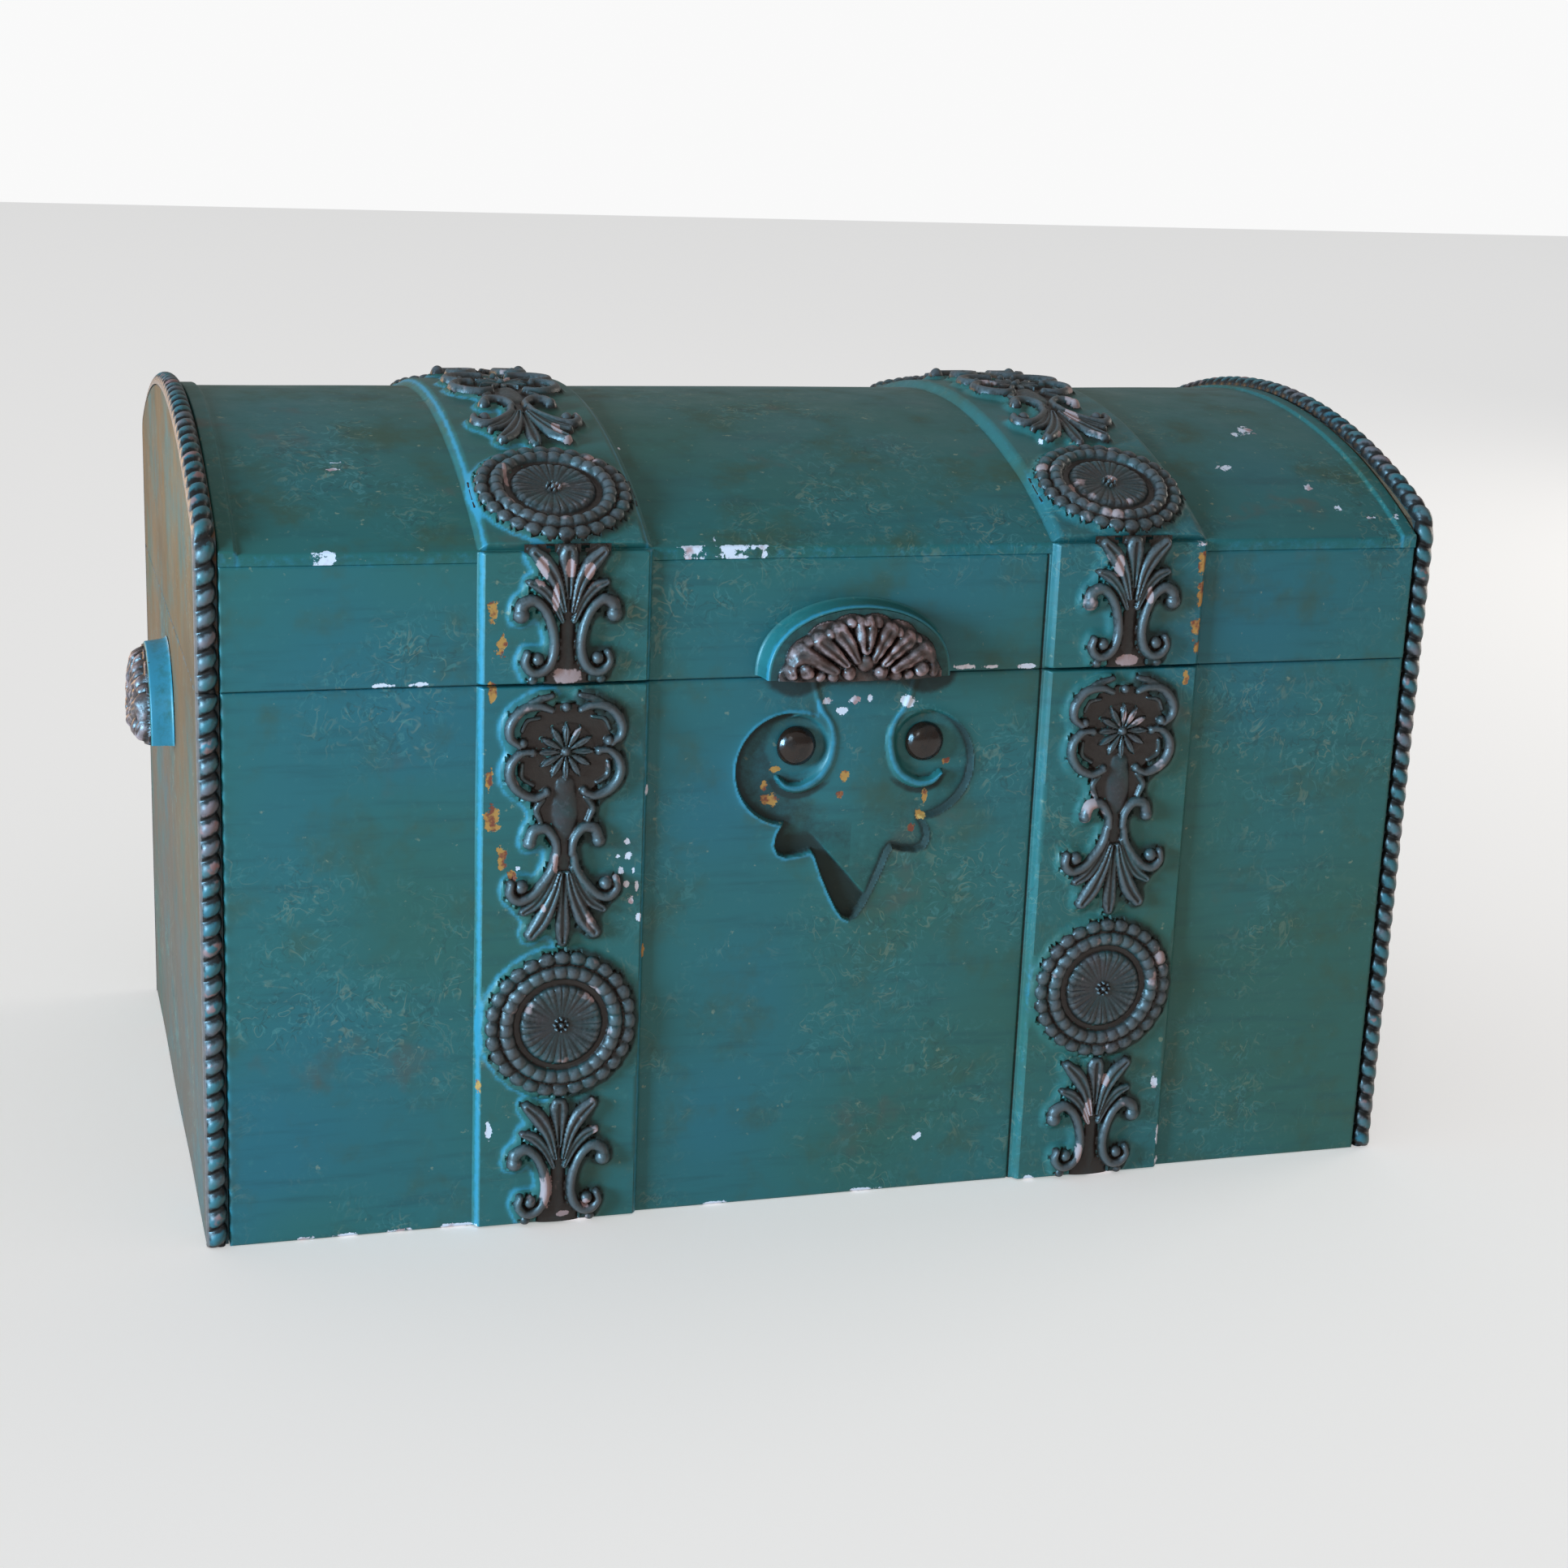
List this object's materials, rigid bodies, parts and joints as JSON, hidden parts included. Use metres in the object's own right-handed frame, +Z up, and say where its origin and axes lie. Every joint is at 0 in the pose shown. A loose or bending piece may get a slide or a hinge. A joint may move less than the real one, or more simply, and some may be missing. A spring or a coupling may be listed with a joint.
{
  "type": "treasure chest",
  "caption": "Small domed-lid wooden chest with a hinged lid, raised ornament straps, rope mouldings, an arched front pull and two side handles.",
  "frame": {"origin": "centre of the underside, on the lower face of the bottom board", "axes": "+X to the right as the front is seen, -Y out of the front face, +Z up"},
  "size_m": [0.5362, 0.3204, 0.319],
  "materials": {
    "teal_paint": "hand-painted teal blue-green over wood, dark antiquing glaze, chips and fine scratches, satin",
    "bare_wood": "unpainted board, matt",
    "dark_casting": "cast composition ornament, dark glaze with pinkish worn tips, satin",
    "bronze_casting": "cast composition shell, brown bronze glaze, semi-gloss",
    "polished_nail": "dark brown polished nail head, glossy",
    "aged_brass": "aged, dull",
    "steel": "bright"
  },
  "bodies": {
    "body": {"front_panel": "teal_paint", "back_panel": "teal_paint", "left_end_panel": "teal_paint", "right_end_panel": "teal_paint", "left_front_bead_moulding": "teal_paint", "left_back_bead_moulding": "teal_paint", "right_front_bead_moulding": "teal_paint", "right_back_bead_moulding": "teal_paint", "body_left_strap": "teal_paint", "body_right_strap": "teal_paint", "left_handle_block": "teal_paint", "right_handle_block": "teal_paint", "bottom_board": "bare_wood", "body_left_palmette": "dark_casting", "body_left_rosette": "dark_casting", "body_left_scroll": "dark_casting", "body_right_palmette": "dark_casting", "body_right_rosette": "dark_casting", "body_right_scroll": "dark_casting", "left_handle_shell": "bronze_casting", "right_handle_shell": "bronze_casting", "left_stud": "polished_nail", "right_stud": "polished_nail", "left_hinge_body_leaf": "aged_brass", "right_hinge_body_leaf": "aged_brass", "left_hinge_body_screw_1": "aged_brass", "left_hinge_body_screw_2": "aged_brass", "right_hinge_body_screw_1": "aged_brass", "right_hinge_body_screw_2": "aged_brass", "left_hinge_pin": "steel", "right_hinge_pin": "steel"},
    "lid": {"lid_front_rail": "teal_paint", "lid_back_rail": "teal_paint", "lid_dome_panel": "teal_paint", "lid_left_end_panel": "teal_paint", "lid_right_end_panel": "teal_paint", "lid_left_bead_moulding": "teal_paint", "lid_right_bead_moulding": "teal_paint", "lid_left_rail_strap": "teal_paint", "lid_right_rail_strap": "teal_paint", "lid_left_dome_strap": "teal_paint", "lid_right_dome_strap": "teal_paint", "lid_pull_block": "teal_paint", "lid_left_palmette": "dark_casting", "lid_left_rosette": "dark_casting", "lid_left_scroll": "dark_casting", "lid_left_back_palmette": "dark_casting", "lid_left_back_rosette": "dark_casting", "lid_right_palmette": "dark_casting", "lid_right_rosette": "dark_casting", "lid_right_scroll": "dark_casting", "lid_right_back_palmette": "dark_casting", "lid_right_back_rosette": "dark_casting", "lid_pull_shell": "bronze_casting", "left_hinge_lid_leaf": "aged_brass", "right_hinge_lid_leaf": "aged_brass", "left_hinge_lid_screw_1": "aged_brass", "left_hinge_lid_screw_2": "aged_brass", "right_hinge_lid_screw_1": "aged_brass", "right_hinge_lid_screw_2": "aged_brass"}
  },
  "joints": [
    {"name": "lid_hinge", "type": "hinge", "parent": "body", "child": "lid", "pos_m": [0, 0.1508, 0.22], "axis": [-1, 0, 0], "range_deg": [0, 100]}
  ]
}
